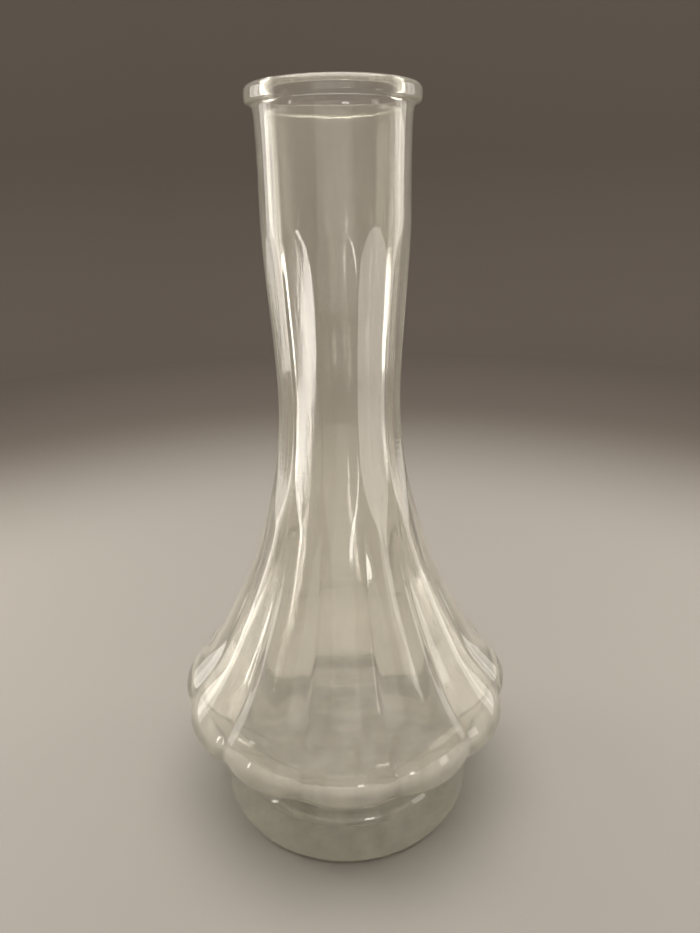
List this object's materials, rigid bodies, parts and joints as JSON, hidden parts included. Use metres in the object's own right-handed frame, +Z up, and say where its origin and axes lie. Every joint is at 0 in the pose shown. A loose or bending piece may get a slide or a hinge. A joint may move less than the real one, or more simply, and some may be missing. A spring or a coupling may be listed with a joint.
{
  "type": "glass bud vase",
  "caption": "Tall glass bud vase with a beaded mouth, a round collar over a panelled neck, a flared shoulder, a lobed bulb and a short round foot.",
  "frame": {"origin": "centre of the resting face under the foot", "axes": "+Z up along the axis of the vase, through the mouth; one of the twelve panels faces -Y"},
  "size_m": [0.1064, 0.1064, 0.216],
  "materials": {
    "clear_glass": "clear moulded glass, taken to be soda-lime, smooth and glossy, with a faint green tint that shows in its thick edges"
  },
  "bodies": {
    "root": {"rim_bead": "clear_glass", "neck_collar": "clear_glass", "panelled_neck": "clear_glass", "flared_shoulder": "clear_glass", "lobed_bulb": "clear_glass", "foot_ring": "clear_glass", "base_heel": "clear_glass"}
  },
  "joints": []
}
